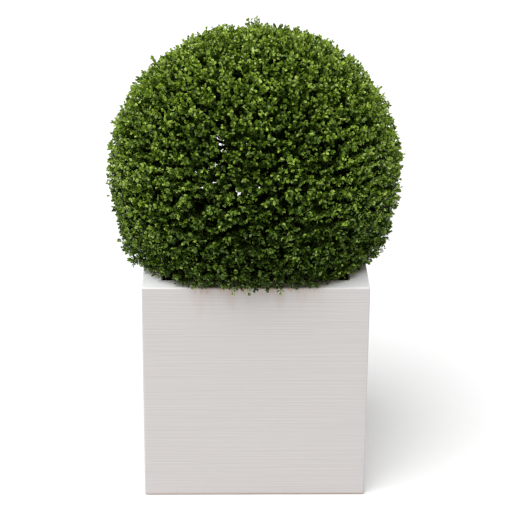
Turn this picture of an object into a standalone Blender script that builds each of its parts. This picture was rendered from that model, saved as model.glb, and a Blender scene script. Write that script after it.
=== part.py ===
"""A clipped box ball in a square planter: planter, soil, stem and one clipped mass of foliage.

Metres, +Z up. The origin is the middle of the planter's flat underside.
"""

import math
import random

import bmesh
import bpy
from mathutils import Matrix, Vector

# Driving dimensions.
PLANTER_WIDTH = 0.600
PLANTER_HEIGHT = 0.620
BALL_RADIUS = 0.403  # out to the tips of the leaves
BALL_ABOVE_RIM = 0.223  # the ball's centre over the planter's rim

# Planter: thin walls under a broad lip that turns inwards and down.
WALL = 0.010
FLOOR = 0.012
LIP_WIDTH = 0.0535
LIP_DEPTH = 0.045
OUTER_ROUND = 0.009
OPENING_ROUND = 0.007
ROUND_STEPS = 4

# Soil and stem.
CLEARANCE = 0.0003  # between solids that touch
SOIL_BELOW_RIM = 0.028
STEM_TOP_ABOVE_RIM = 0.115
STEM_FOOT_RADIUS = 0.046
STEM_NECK_RADIUS = 0.026
STEM_TIP_RADIUS = 0.019
STEM_FLARE_HEIGHT = 0.055
STEM_RINGS = 9
STEM_SIDES = 12
STEM_LEAN = (0.012, -0.008)  # how far the tip stands off the foot, in x and y

# Foliage: a core, and sprays of twigs and leaves that stand out of it at the points of a spiral.
CORE_SHARE = 0.905  # of the ball's radius
CORE_LUMP = 0.014
CORE_OVER_RIM = 0.006
SOCKET_CLEARANCE = 0.006  # round the stem, inside the core
INNER_STEM_LENGTH = 0.020
HEART_DROP = 0.10  # the twigs point away from a heart this far below the ball's centre
SPRAYS = 120
SPRAY_JITTER = 0.28  # of the distance between neighbouring sprays
TWIG_RADIUS = 0.0045
TWIG_SINK = 0.020
TWIG_UNEVENNESS = 0.003
SIDE_TWIG_CHANCE = 0.25
SIDE_TWIG_FORK = 0.42  # where the side twig leaves, as a share of the main twig's length
SIDE_TWIG_LENGTH = 0.060
SIDE_TWIG_ANGLE = math.radians(58)
LEAF_LENGTH = 0.072
LEAF_WIDTH = 0.047
LEAF_THICKNESS = 0.0030
LEAF_BROADEST = 0.60  # where a leaf is widest, as a share of its length
OUTER_PAIR_AT = 0.58  # where the pairs of leaves sit, as shares of the twig's length
INNER_PAIR_AT = 0.42
SIDE_PAIR_AT = 0.62
OUTER_LEAF_ANGLE = math.radians(40)  # between a twig and the pair of leaves near its tip
INNER_LEAF_ANGLE = math.radians(64)
OUTER_LEAF_SCALE = (0.38, 0.46)
INNER_LEAF_SCALE = (0.80, 1.00)
SIDE_LEAF_SCALE = (0.55, 0.65)
LEAF_TURN = 0.14  # how far a leaf may stand off its place opposite the other, in radians
LEAF_SINK = 0.0016
SMALLER_LEAF = 0.85  # a leaf that does not fit is tried again at this share of its size
LEAF_TRIES = 4
FOLIAGE_OVER_RIM = 0.003
FOLIAGE_OFF_WALLS = 0.004
SPRIG_DIRECTION = (0.02, 0.38, 0.92)  # one shoot that has outgrown the last clipping
SPRIG_OUTGROWTH = 0.012
SKIRT_SPRIGS = (-0.16, 0.02, 0.20)  # angles of the sprigs that hang over each side of the rim
SKIRT_SLOPE = math.radians(-62)
SKIRT_START = 0.017  # where they leave the core, above the rim
SKIRT_SINK = 0.012
SKIRT_LENGTH = 0.052
SKIRT_LEAF_SCALE = 0.33
SKIRT_DEPTH = 0.034  # how far they may hang below the rim
SKIRT_OUTGROWTH = 0.016
SEED = 24

RIM = PLANTER_HEIGHT
HALF_WIDTH = PLANTER_WIDTH / 2
SOIL_LEVEL = RIM - SOIL_BELOW_RIM
BALL_CENTRE = Vector((0, 0, RIM + BALL_ABOVE_RIM))
HEART = BALL_CENTRE - Vector((0, 0, HEART_DROP))
STEM_FOOT = Vector((0, 0, SOIL_LEVEL + CLEARANCE))
STEM_TIP = Vector((*STEM_LEAN, RIM + STEM_TOP_ABOVE_RIM))
CORE_RADIUS = BALL_RADIUS * CORE_SHARE
GOLDEN_ANGLE = math.pi * (3 - math.sqrt(5))


def clear_scene():
    for obj in list(bpy.data.objects):
        bpy.data.objects.remove(obj)


def collection(name):
    made = bpy.data.collections.new(name)
    bpy.context.scene.collection.children.link(made)
    return made


def material(name, colour, roughness):
    made = bpy.data.materials.new(name)
    made.use_nodes = True
    shader = made.node_tree.nodes["Principled BSDF"]
    shader.inputs["Base Color"].default_value = (*colour, 1)
    shader.inputs["Roughness"].default_value = roughness
    shader.inputs["Metallic"].default_value = 0.0
    return made


def mesh_object(name, bm, where, finish=None):
    """An object in the collection where, from a bmesh, which is freed."""
    mesh = bpy.data.meshes.new(name)
    bm.to_mesh(mesh)
    bm.free()
    if finish:
        mesh.materials.append(finish)
    obj = bpy.data.objects.new(name, mesh)
    where.objects.link(obj)
    return obj


def block(half, bottom, top):
    """A bmesh box with a square plan, centred on the Z axis."""
    bm = bmesh.new()
    bmesh.ops.create_cube(bm, size=1)
    bmesh.ops.scale(bm, vec=(2 * half, 2 * half, top - bottom), verts=bm.verts)
    bmesh.ops.translate(bm, vec=(0, 0, (top + bottom) / 2), verts=bm.verts)
    return bm


def upright_edges(bm):
    """The edges of a box that run up and down."""
    return [e for e in bm.edges if abs(e.verts[0].co.z - e.verts[1].co.z) > CLEARANCE]


def round_edges(bm, edges, radius):
    rounding = {"affect": "EDGES", "segments": ROUND_STEPS, "profile": 0.5, "material": -1}
    bmesh.ops.bevel(bm, geom=edges, offset=radius, **rounding)


def boolean(obj, operation, other, solver="EXACT"):
    """Applies a Boolean of obj with another object, or with all of a collection."""
    modifier = obj.modifiers.new(operation.lower(), "BOOLEAN")
    modifier.operation = operation
    modifier.solver = solver
    if isinstance(other, bpy.types.Collection):
        modifier.operand_type = "COLLECTION"
        modifier.collection = other
        used = list(other.objects)
    else:
        modifier.object = other
        used = [other]
    graph = bpy.context.evaluated_depsgraph_get()
    joined = bpy.data.meshes.new_from_object(obj.evaluated_get(graph))
    obj.modifiers.clear()
    obj.data = joined
    for each in used:
        bpy.data.objects.remove(each)


# ---- planter and soil ----

def make_planter(parts, cutters, finish):
    """A square pot with every outer edge rounded, a wide cavity, and a narrower mouth inside the lip."""
    body = block(HALF_WIDTH, 0, RIM)
    round_edges(body, list(body.edges), OUTER_ROUND)
    planter = mesh_object("planter", body, parts, finish)

    cavity = block(HALF_WIDTH - WALL, FLOOR, RIM - LIP_DEPTH)
    mouth = block(HALF_WIDTH - LIP_WIDTH, RIM - 2 * LIP_DEPTH, RIM + LIP_DEPTH)
    round_edges(mouth, upright_edges(mouth), OPENING_ROUND)
    for name, cut in (("cavity_cut", cavity), ("mouth_cut", mouth)):
        boolean(planter, "DIFFERENCE", mesh_object(name, cut, cutters))
    return planter


def make_soil(parts, cutters, finish):
    """Soil that fills the cavity and stands up into the mouth, a little below the rim."""
    body = block(HALF_WIDTH - WALL - CLEARANCE, FLOOR + CLEARANCE, RIM - LIP_DEPTH - CLEARANCE)
    soil = mesh_object("soil", body, parts, finish)
    neck = block(HALF_WIDTH - LIP_WIDTH - CLEARANCE, SOIL_LEVEL - LIP_DEPTH, SOIL_LEVEL)
    round_edges(neck, upright_edges(neck), OPENING_ROUND)
    boolean(soil, "UNION", mesh_object("soil_neck", neck, cutters))
    return soil


# ---- stem ----

def stem_radius(share):
    """The stem's radius at a share of its height: a root flare, then an even taper."""
    height = share * (STEM_TIP.z - STEM_FOOT.z)
    taper = STEM_NECK_RADIUS + (STEM_TIP_RADIUS - STEM_NECK_RADIUS) * share
    flare = max(0.0, 1 - height / STEM_FLARE_HEIGHT)
    return taper + (STEM_FOOT_RADIUS - STEM_NECK_RADIUS) * flare ** 2


def stem_skin(grow=0.0):
    """A closed bmesh skin over the stem's rings, swollen by grow."""
    bm = bmesh.new()
    previous = None
    for i in range(STEM_RINGS):
        share = i / (STEM_RINGS - 1)
        place = Matrix.Translation(STEM_FOOT.lerp(STEM_TIP, share))
        radius = stem_radius(share) + grow
        made = bmesh.ops.create_circle(bm, segments=STEM_SIDES, radius=radius, matrix=place, cap_ends=False)
        edges = list({e for v in made["verts"] for e in v.link_edges})
        if previous:
            bmesh.ops.bridge_loops(bm, edges=previous + edges)
        else:
            bmesh.ops.contextual_create(bm, geom=edges)
        previous = edges
    bmesh.ops.contextual_create(bm, geom=previous)
    bmesh.ops.recalc_face_normals(bm, faces=bm.faces)
    return bm


def make_stem(parts, finish):
    stem = mesh_object("stem", stem_skin(), parts, finish)
    stem.data.shade_smooth()
    stem.data.set_sharp_from_angle(angle=math.radians(40))
    return stem


# ---- foliage ----

def frame_along(direction, roll):
    """A rotation that turns +Z to direction, after a turn by roll about +Z."""
    turn = Vector((0, 0, 1)).rotation_difference(direction).to_matrix().to_4x4()
    return turn @ Matrix.Rotation(roll, 4, "Z")


def leaf_mesh():
    """A leaf of six faces from the origin along +Z: flat on one side, ridged on the other (+X)."""
    bm = bmesh.new()
    for bottom, top, middle in ((1, 0, 0.5), (0, 1, -0.5)):
        place = Matrix.Translation((0, 0, middle)) @ Matrix.Rotation(-math.pi / 2, 4, "Z")
        bmesh.ops.create_cone(bm, segments=3, radius1=bottom, radius2=top, depth=1, matrix=place)
    bmesh.ops.remove_doubles(bm, verts=bm.verts, dist=1e-5)
    for v in bm.verts:
        along = LEAF_BROADEST + v.co.z * ((1 - LEAF_BROADEST) if v.co.z > 0 else LEAF_BROADEST)
        across = v.co.y / math.sin(math.pi / 3)
        v.co = Vector((v.co.x * LEAF_THICKNESS / 1.5, across * LEAF_WIDTH / 2, along * LEAF_LENGTH))
    bmesh.ops.recalc_face_normals(bm, faces=bm.faces)
    return bm


def twig_mesh():
    """A three-sided twig of unit length along +Z that runs to a point."""
    bm = bmesh.new()
    upright = Matrix.Translation((0, 0, 0.5))
    bmesh.ops.create_cone(bm, cap_ends=True, segments=3, radius1=TWIG_RADIUS, depth=1, matrix=upright)
    return bm


def is_free(point, outgrowth, depth):
    """True for a point in the ball, let out by outgrowth, that is clear of the planter and soil."""
    if (point - BALL_CENTRE).length > BALL_RADIUS + outgrowth:
        return False
    if point.z > RIM + FOLIAGE_OVER_RIM:
        return True
    past_walls = max(abs(point.x), abs(point.y)) > HALF_WIDTH + FOLIAGE_OFF_WALLS
    return past_walls and point.z > RIM - depth


class Grower:
    """Adds twigs and leaves to a collection as objects that share two meshes."""

    def __init__(self, where, rng):
        self.where = where
        self.rng = rng
        self.leaf = self.shared("leaf", leaf_mesh())
        self.twig = self.shared("twig", twig_mesh())
        self.outgrowth = 0.0
        self.depth = 0.0

    @staticmethod
    def shared(name, bm):
        mesh = bpy.data.meshes.new(name)
        bm.to_mesh(mesh)
        bm.free()
        return mesh

    def add(self, mesh, matrix):
        """Adds one piece, unless a point along one of its edges would leave the free space."""
        corners = [matrix @ v.co for v in mesh.vertices]
        for edge in mesh.edges:
            start, end = (corners[i] for i in edge.vertices)
            if not all(is_free(start.lerp(end, t / 4), self.outgrowth, self.depth) for t in range(5)):
                return False
        obj = bpy.data.objects.new(mesh.name, mesh)
        obj.matrix_world = matrix
        self.where.objects.link(obj)
        return True

    def add_twig(self, root, direction, length):
        stretch = Matrix.Diagonal((1, 1, length, 1))
        return self.add(self.twig, Matrix.Translation(root) @ frame_along(direction, 0) @ stretch)

    def add_pair(self, node, direction, roll, angle, scale):
        """Two nearly opposite leaves at an angle to the twig, whose bases meet inside it at node."""
        for side in (0, math.pi):
            turn = roll + side + self.rng.uniform(-1, 1) * LEAF_TURN
            lean = Matrix.Rotation(angle * self.rng.uniform(0.94, 1.06), 4, "Y")
            back = Matrix.Translation((0, 0, -LEAF_SINK * self.rng.uniform(0.5, 1)))
            place = Matrix.Translation(node) @ frame_along(direction, turn) @ lean @ back
            for smaller in range(LEAF_TRIES):
                if self.add(self.leaf, place @ Matrix.Scale(scale * SMALLER_LEAF ** smaller, 4)):
                    break


def spiral_directions(count):
    """Unit vectors spread evenly over a sphere, along a golden-angle spiral from the top down."""
    for i in range(count):
        z = 1 - (2 * i + 1) / count
        flat = math.sqrt(1 - z * z)
        yield Vector((flat * math.cos(i * GOLDEN_ANGLE), flat * math.sin(i * GOLDEN_ANGLE), z))


def grow_spray(grower, outward):
    """A main twig out of the core, often with a side twig, and pairs of leaves set crosswise along them."""
    rng = grower.rng
    surface = BALL_CENTRE + outward * BALL_RADIUS
    direction = (surface - HEART).normalized()
    root = BALL_CENTRE + outward * (CORE_RADIUS - TWIG_SINK)
    reach = BALL_RADIUS + grower.outgrowth - TWIG_UNEVENNESS * rng.random() - (CORE_RADIUS - TWIG_SINK)
    if not grower.add_twig(root, direction, reach):
        return
    roll = rng.uniform(0, math.tau)
    outer = root + direction * reach * OUTER_PAIR_AT
    inner = root + direction * reach * INNER_PAIR_AT
    grower.add_pair(outer, direction, roll, OUTER_LEAF_ANGLE, rng.uniform(*OUTER_LEAF_SCALE))
    grower.add_pair(inner, direction, roll + math.pi / 2, INNER_LEAF_ANGLE, rng.uniform(*INNER_LEAF_SCALE))
    if rng.random() > SIDE_TWIG_CHANCE:
        return
    turned = frame_along(direction, roll + math.pi / 4) @ Matrix.Rotation(SIDE_TWIG_ANGLE, 4, "Y")
    side_direction = (turned @ Vector((0, 0, 1))).normalized()
    fork = root + direction * reach * SIDE_TWIG_FORK
    length = SIDE_TWIG_LENGTH * rng.uniform(0.85, 1.1)
    if grower.add_twig(fork, side_direction, length):
        node = fork + side_direction * length * SIDE_PAIR_AT
        grower.add_pair(node, side_direction, roll, OUTER_LEAF_ANGLE, rng.uniform(*SIDE_LEAF_SCALE))


def grow_skirt(grower):
    """Sprigs that hang over the rim where the ball is wider than the planter, on all four sides."""
    level = RIM + SKIRT_START
    radius = math.sqrt(CORE_RADIUS ** 2 - (BALL_CENTRE.z - level) ** 2)
    for side in range(4):
        for angle in SKIRT_SPRIGS:
            turn = Matrix.Rotation(side * math.pi / 2 + angle, 3, "Z")
            direction = turn @ Vector((0, -math.cos(SKIRT_SLOPE), math.sin(SKIRT_SLOPE)))
            root = turn @ Vector((0, -radius, 0)) + Vector((0, 0, level)) - direction * SKIRT_SINK
            length = SKIRT_LENGTH * grower.rng.uniform(0.85, 1)
            if grower.add_twig(root, direction, length):
                node = root + direction * length * SIDE_PAIR_AT
                roll = grower.rng.uniform(-0.5, 0.5)
                grower.add_pair(node, direction, roll, OUTER_LEAF_ANGLE, SKIRT_LEAF_SCALE)


def make_core(parts, cutters, finish):
    """A lumpy ball with a flat underside over the rim, and a socket that the stem stands in."""
    bm = bmesh.new()
    bmesh.ops.create_icosphere(bm, subdivisions=3, radius=CORE_RADIUS)
    rng = random.Random(SEED)
    for v in bm.verts:
        v.co *= 1 + (rng.random() - 0.5) * CORE_LUMP / CORE_RADIUS
        v.co += BALL_CENTRE
    floor = RIM + CORE_OVER_RIM
    whole = bm.verts[:] + bm.edges[:] + bm.faces[:]
    plane = {"plane_co": (0, 0, floor), "plane_no": (0, 0, -1)}
    cut = bmesh.ops.bisect_plane(bm, geom=whole, clear_outer=True, **plane)
    rim_edges = [e for e in cut["geom_cut"] if isinstance(e, bmesh.types.BMEdge)]
    bmesh.ops.contextual_create(bm, geom=rim_edges)
    bmesh.ops.recalc_face_normals(bm, faces=bm.faces)
    core = mesh_object("foliage_ball", bm, parts, finish)

    socket = stem_skin(grow=SOCKET_CLEARANCE)
    lid = [v for v in socket.verts if v.co.z > STEM_TIP.z - CLEARANCE]
    bmesh.ops.translate(socket, vec=(0, 0, INNER_STEM_LENGTH), verts=lid)
    boolean(core, "DIFFERENCE", mesh_object("socket_cut", socket, cutters))
    return core


def inner_stem(where):
    """The ball's own stem: it hangs in the socket and meets the stem's tip."""
    bm = bmesh.new()
    bottom = STEM_TIP.z + CLEARANCE
    top = STEM_TIP.z + 2 * INNER_STEM_LENGTH
    place = Matrix.Translation((STEM_TIP.x, STEM_TIP.y, (top + bottom) / 2))
    ends = {"cap_ends": True, "radius1": STEM_TIP_RADIUS, "radius2": STEM_TIP_RADIUS}
    bmesh.ops.create_cone(bm, segments=STEM_SIDES, depth=top - bottom, matrix=place, **ends)
    mesh_object("inner_stem", bm, where)


def make_foliage_ball(parts, cutters, finish):
    core = make_core(parts, cutters, finish)
    growth = collection("growth")
    inner_stem(growth)
    rng = random.Random(SEED)
    grower = Grower(growth, rng)
    spacing = math.sqrt(4 * math.pi / SPRAYS)
    for outward in spiral_directions(SPRAYS):
        shift = Vector([rng.uniform(-1, 1) for _ in range(3)]) * spacing * SPRAY_JITTER
        grow_spray(grower, (outward + shift).normalized())
    grower.outgrowth = SPRIG_OUTGROWTH
    grow_spray(grower, Vector(SPRIG_DIRECTION).normalized())
    grower.outgrowth = SKIRT_OUTGROWTH
    grower.depth = SKIRT_DEPTH
    grow_skirt(grower)
    boolean(core, "UNION", growth, solver="MANIFOLD")
    bpy.data.collections.remove(growth)
    return core


def main():
    clear_scene()
    parts = collection("box_ball_in_planter")
    cutters = collection("cutters")
    make_planter(parts, cutters, material("white_plastic", (0.66, 0.64, 0.62), 0.55))
    make_soil(parts, cutters, material("potting_soil", (0.035, 0.022, 0.014), 0.95))
    make_stem(parts, material("grey_brown_bark", (0.16, 0.12, 0.085), 0.85))
    make_foliage_ball(parts, cutters, material("box_green", (0.075, 0.17, 0.022), 0.45))


main()
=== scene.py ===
"""Dresses the clipped box ball and its planter: foliage, stem, soil and the planter's finish."""

import math
import random

import bmesh
import bpy
import numpy as np
from mathutils import Matrix, Vector, noise


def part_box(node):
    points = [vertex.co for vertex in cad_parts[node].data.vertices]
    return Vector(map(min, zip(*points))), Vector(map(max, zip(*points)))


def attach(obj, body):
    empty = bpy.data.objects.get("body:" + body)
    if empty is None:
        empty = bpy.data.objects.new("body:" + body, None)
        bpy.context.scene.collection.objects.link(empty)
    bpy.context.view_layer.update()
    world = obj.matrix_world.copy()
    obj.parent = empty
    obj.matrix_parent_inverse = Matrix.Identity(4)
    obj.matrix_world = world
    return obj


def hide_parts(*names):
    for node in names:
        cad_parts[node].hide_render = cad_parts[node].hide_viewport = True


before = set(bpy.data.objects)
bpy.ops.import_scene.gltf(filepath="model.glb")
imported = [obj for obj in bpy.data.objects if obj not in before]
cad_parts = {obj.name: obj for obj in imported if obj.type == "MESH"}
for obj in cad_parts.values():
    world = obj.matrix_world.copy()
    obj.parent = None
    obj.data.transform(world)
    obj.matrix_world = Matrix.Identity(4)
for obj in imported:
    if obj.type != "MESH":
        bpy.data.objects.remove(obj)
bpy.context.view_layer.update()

# ---- sizes, in metres ----

PLANTER_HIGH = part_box("planter")[1]
RIM = PLANTER_HIGH.z
HALF_WIDTH = PLANTER_HIGH.x
WALL = 0.010
FLOOR = 0.012
LIP_WIDTH = 0.0535
LIP_DEPTH = 0.045
OUTER_ROUND = 0.0045
LIP_EDGE_ROUND = 0.0035
SOIL_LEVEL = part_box("soil")[1].z
CLEARANCE = 0.0003  # between the soil and the planter

BALL_ABOVE_RIM = 0.223
BALL_CENTRE = Vector((0, 0, RIM + BALL_ABOVE_RIM))
BALL_RADIUS = 0.403
HEART_DROP = 0.10
HEART = BALL_CENTRE - Vector((0, 0, HEART_DROP))  # limbs and shoots grow away from here
STEM_LOW, STEM_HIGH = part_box("stem")
STEM_LEAN = (0.012, -0.008)
STEM_TIP = Vector((*STEM_LEAN, STEM_HIGH.z))
UP = np.array([0.0, 0.0, 1.0])
SEED = 25


# ---- small tools ----

def linear(hex_colour):
    """An sRGB hex colour as linear red, green, blue and alpha."""
    parts = [int(hex_colour[i:i + 2], 16) / 255 for i in (1, 3, 5)]
    return (*[p / 12.92 if p <= 0.04045 else ((p + 0.055) / 1.055) ** 2.4 for p in parts], 1)


def new_material(name):
    """A new material, its node tree and its Principled shader."""
    material = bpy.data.materials.new(name)
    material.use_nodes = True
    return material, material.node_tree, material.node_tree.nodes["Principled BSDF"]


def add(tree, kind, settings=None, **inputs):
    """Adds one node: settings go on the node, inputs on its sockets, as values or as other sockets.

    An input is called by its socket's name, with _ for a space, or by its place: _0, _1, _2.
    """
    node = tree.nodes.new(kind)
    for key, value in (settings or {}).items():
        setattr(node, key, value)
    for key, value in inputs.items():
        socket = node.inputs[int(key[1:])] if key[0] == "_" else node.inputs[key.replace("_", " ")]
        if isinstance(value, bpy.types.NodeSocket):
            tree.links.new(value, socket)
        else:
            socket.default_value = value
    return node


def finish_piece(obj, slot, *replaced):
    """Has a piece ride on the plant's one body, and hides the nodes it stands for; the slot is not used.
    """
    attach(obj, "root")
    if replaced:
        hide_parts(*replaced)
    return obj


def mesh_object(name, bm, material):
    """An object from a bmesh, which is freed."""
    mesh = bpy.data.meshes.new(name)
    bm.to_mesh(mesh)
    bm.free()
    mesh.materials.append(material)
    obj = bpy.data.objects.new(name, mesh)
    bpy.context.scene.collection.objects.link(obj)
    return obj


def array_object(name, points, triangles, material, smooth):
    """An object from numpy arrays of points and triangles."""
    mesh = bpy.data.meshes.new(name)
    mesh.vertices.add(len(points))
    mesh.vertices.foreach_set("co", points.astype(np.float32).ravel())
    mesh.loops.add(3 * len(triangles))
    mesh.loops.foreach_set("vertex_index", triangles.astype(np.int32).ravel())
    mesh.polygons.add(len(triangles))
    mesh.polygons.foreach_set("loop_start", np.arange(0, 3 * len(triangles), 3, dtype=np.int32))
    mesh.materials.append(material)
    mesh.update(calc_edges=True)
    mesh.polygons.foreach_set("use_smooth", np.full(len(triangles), smooth))
    obj = bpy.data.objects.new(name, mesh)
    bpy.context.scene.collection.objects.link(obj)
    return obj


def unit(vectors):
    """The vectors, each scaled to a length of 1."""
    return vectors / np.linalg.norm(vectors, axis=-1, keepdims=True)


def spiral_directions(count):
    """Unit vectors spread evenly over a sphere, along a golden-angle spiral from the top down."""
    i = np.arange(count)
    z = 1 - (2 * i + 1) / count
    flat = np.sqrt(1 - z * z)
    angle = i * math.pi * (3 - math.sqrt(5))
    return np.stack([flat * np.cos(angle), flat * np.sin(angle), z], axis=1)


# ---- camera ----

CAMERA_AZIMUTH = math.radians(-1.33)
CAMERA_ELEVATION = math.radians(23.15)
CAMERA_ROLL = math.radians(0.51)
CAMERA_DISTANCE = 5.310
CAMERA_TARGET = Vector((0.0298, 0, 0.5573))
CAMERA_LENS = 130.0
SENSOR = 36.0
FRAME_PIXELS = 530


def towards(azimuth, elevation):
    """The direction that lies so far round to the right from the front, and so far up."""
    flat = math.cos(elevation)
    return Vector((math.sin(azimuth) * flat, -math.cos(azimuth) * flat, math.sin(elevation)))


def camera_axes():
    """The camera's right, up and backward directions."""
    back = towards(CAMERA_AZIMUTH, CAMERA_ELEVATION)
    level = Vector((0, 0, 1)).cross(back).normalized()
    turn = Matrix.Rotation(CAMERA_ROLL, 3, back)
    return turn @ level, turn @ back.cross(level), back


def make_camera():
    """A long lens, slightly above the rim and almost square to the planter's front."""
    right, up, back = camera_axes()
    data = bpy.data.cameras.new("camera")
    data.lens = CAMERA_LENS
    data.sensor_width = SENSOR
    data.clip_end = 100
    obj = bpy.data.objects.new("camera", data)
    place = Matrix((right, up, back)).transposed().to_4x4()
    place.translation = CAMERA_TARGET + back * CAMERA_DISTANCE
    obj.matrix_world = place
    bpy.context.scene.collection.objects.link(obj)
    bpy.context.scene.camera = obj


def sight_line(x, y):
    """The line from the camera through a place in the frame, as a point and a direction."""
    right, up, back = camera_axes()
    focal = CAMERA_LENS / SENSOR * FRAME_PIXELS
    middle = FRAME_PIXELS / 2
    direction = right * (x - middle) / focal + up * (middle - y) / focal - back
    return CAMERA_TARGET + back * CAMERA_DISTANCE, direction.normalized()


# ---- planter ----

ROUND_SEGMENTS = 6
GROOVE_ROWS = 420
GROOVE_COLUMNS = 28
GROOVE_DEPTH = 0.0004

# Noise of the brushed marks: lumps per metre along the wall and up it, steps from wall to wall, shift.
SCORE_NOISE = (0.35, 110, 17.3, 0)
FADE_NOISE = (4.0, 60, 31.7, 4)
BRUSH_NOISE = (6, 270, 11.1, 9)
SCORE_WIDTH = 0.10  # of its noise's range
SCORE_SHARE = 0.55
BRUSH_SHARE = 0.45


def groove(along, height, side):
    """Depth of the brushed marks, from 0 to 1: level scores that fade in and out, on fine brushing."""
    level, fade, brush = (
        noise.noise(Vector((along * lengthwise, height * upwards, side * step + shift)))
        for lengthwise, upwards, step, shift in (SCORE_NOISE, FADE_NOISE, BRUSH_NOISE)
    )
    score = max(0.0, 1 - abs(level) / SCORE_WIDTH) * min(1.0, max(0.0, 0.45 + 1.9 * fade))
    return SCORE_SHARE * score + BRUSH_SHARE * (0.5 + 0.5 * brush)


def boundary(bm):
    """The edges round the holes of a bmesh."""
    return [e for e in bm.edges if e.is_boundary]


def extrude_open_edge(bm):
    """Extrudes the open edge in place and returns its new points."""
    made = bmesh.ops.extrude_edge_only(bm, edges=boundary(bm))["geom"]
    return [v for v in made if isinstance(v, bmesh.types.BMVert)]


def extrude_rim(bm, scale_to=None, down=0.0):
    """Extrudes the open edge once: inwards or outwards to a half width, or straight down."""
    verts = extrude_open_edge(bm)
    if scale_to is not None:
        reach = max(v.co.x for v in verts)
        bmesh.ops.scale(bm, vec=(scale_to / reach, scale_to / reach, 1), verts=verts)
    bmesh.ops.translate(bm, vec=(0, 0, -down), verts=verts)


def long_edges(bm, upright):
    """The box's long edges, either those that stand or those that lie level."""
    found = []
    for edge in bm.edges:
        rise = abs(edge.verts[0].co.z - edge.verts[1].co.z)
        if edge.calc_length() > HALF_WIDTH and (rise > HALF_WIDTH) == upright:
            found.append(edge)
    return found


def make_planter(material):
    """Rotomoulded box with a broad lip: rounded outside, brushed walls, and a cavity under the lip."""
    bm = bmesh.new()
    bmesh.ops.create_cube(bm, size=1)
    bmesh.ops.scale(bm, vec=(2 * HALF_WIDTH, 2 * HALF_WIDTH, RIM), verts=bm.verts)
    bmesh.ops.translate(bm, vec=(0, 0, RIM / 2), verts=bm.verts)
    bmesh.ops.bevel(
        bm, geom=bm.edges[:], offset=OUTER_ROUND, affect="EDGES", segments=ROUND_SEGMENTS, profile=0.5,
        material=-1,
    )
    top = max(bm.faces, key=lambda f: f.calc_center_median().z)
    bmesh.ops.delete(bm, geom=[top], context="FACES_ONLY")
    bmesh.ops.subdivide_edges(bm, edges=long_edges(bm, True), cuts=GROOVE_ROWS, use_grid_fill=True)
    bmesh.ops.subdivide_edges(bm, edges=long_edges(bm, False), cuts=GROOVE_COLUMNS, use_grid_fill=True)
    bm.normal_update()
    scored = bm.verts.layers.float.new("score")
    for v in bm.verts:
        facing = Vector((v.normal.x, v.normal.y, 0))
        if facing.length < 0.5:
            continue
        facing.normalize()
        across_x = abs(facing.x) > abs(facing.y)
        along = v.co.y if across_x else v.co.x
        side = (facing.x > 0) + 2 * across_x + 4 * (facing.y > 0)
        v[scored] = groove(along, v.co.z, side)
        v.co -= facing * GROOVE_DEPTH * v[scored]

    mouth = HALF_WIDTH - LIP_WIDTH
    extrude_rim(bm, scale_to=mouth + LIP_EDGE_ROUND)
    extrude_rim(bm, scale_to=mouth, down=LIP_EDGE_ROUND)
    extrude_rim(bm, down=LIP_DEPTH - LIP_EDGE_ROUND)
    extrude_rim(bm, scale_to=HALF_WIDTH - WALL)
    extrude_rim(bm, down=RIM - LIP_DEPTH - FLOOR)
    bmesh.ops.contextual_create(bm, geom=boundary(bm))
    bmesh.ops.recalc_face_normals(bm, faces=bm.faces)
    planter = mesh_object("brushed_planter", bm, material)
    planter.data.shade_smooth()
    planter.data.set_sharp_from_angle(angle=math.radians(40))
    return planter


# Marks are drawn as coarse as they have to be to show: real bristles leave them under 1 mm apart.
BRISTLE_SCALE = (3, 3, 300)  # lumps per metre
RIDGE_SHIFT = 0.7
DUST = 0.72
# Strength of the bristle marks in the colour: dust and painted shade in each furrow, painted highlight
# on its ridge.
BRISTLE_DUST_AND_SHADE = 0.82
SCORE_DUST = 0.04
SCRATCH_SCALE = (0.6, 0.6, 95)
SCRATCH_WIDTH = 0.055  # of its noise's range
SCRATCH_PATCH_SCALE = (5, 5, 60)
SCRATCH_PATCH = (0.42, 0.66)  # where in its noise's range a scratch starts to show and shows in full
SCRATCH_DUST = 0.14
DUST_AND_SHADE_RANGE = (0.20, 1.20)
CLEAN_PLASTIC = "#D0CCCA"
DUSTY_SHADED_PLASTIC = "#B5B0AE"
# The lip's colour is painted lighter than the walls' colour, for the light from above.
LIT_LIP_PLASTIC = "#DDDDDD"
LIP_FROM = (0.0030, 0.0012)  # below the rim, where the walls' colour gives way to the lip's painted lighter colour

# Width of a run, how far it reaches down, strength, where the noise starts and fills it, shift.
STAINS = (
    (0.011, 0.036, 0.62, 0.86, 1.06, 3.1),
    (0.034, 0.110, 0.28, 0.70, 1.06, 9.1),
)
STAIN = "#AC8C72"
STAINED_RADIUS = (0.362, 0.312)  # from the planter's middle: past the first there are no stains
DIRT = "#A88D77"
DIRT_HEIGHT = (0.008, 0.0015)
DIRT_STRENGTH = 0.75


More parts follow.
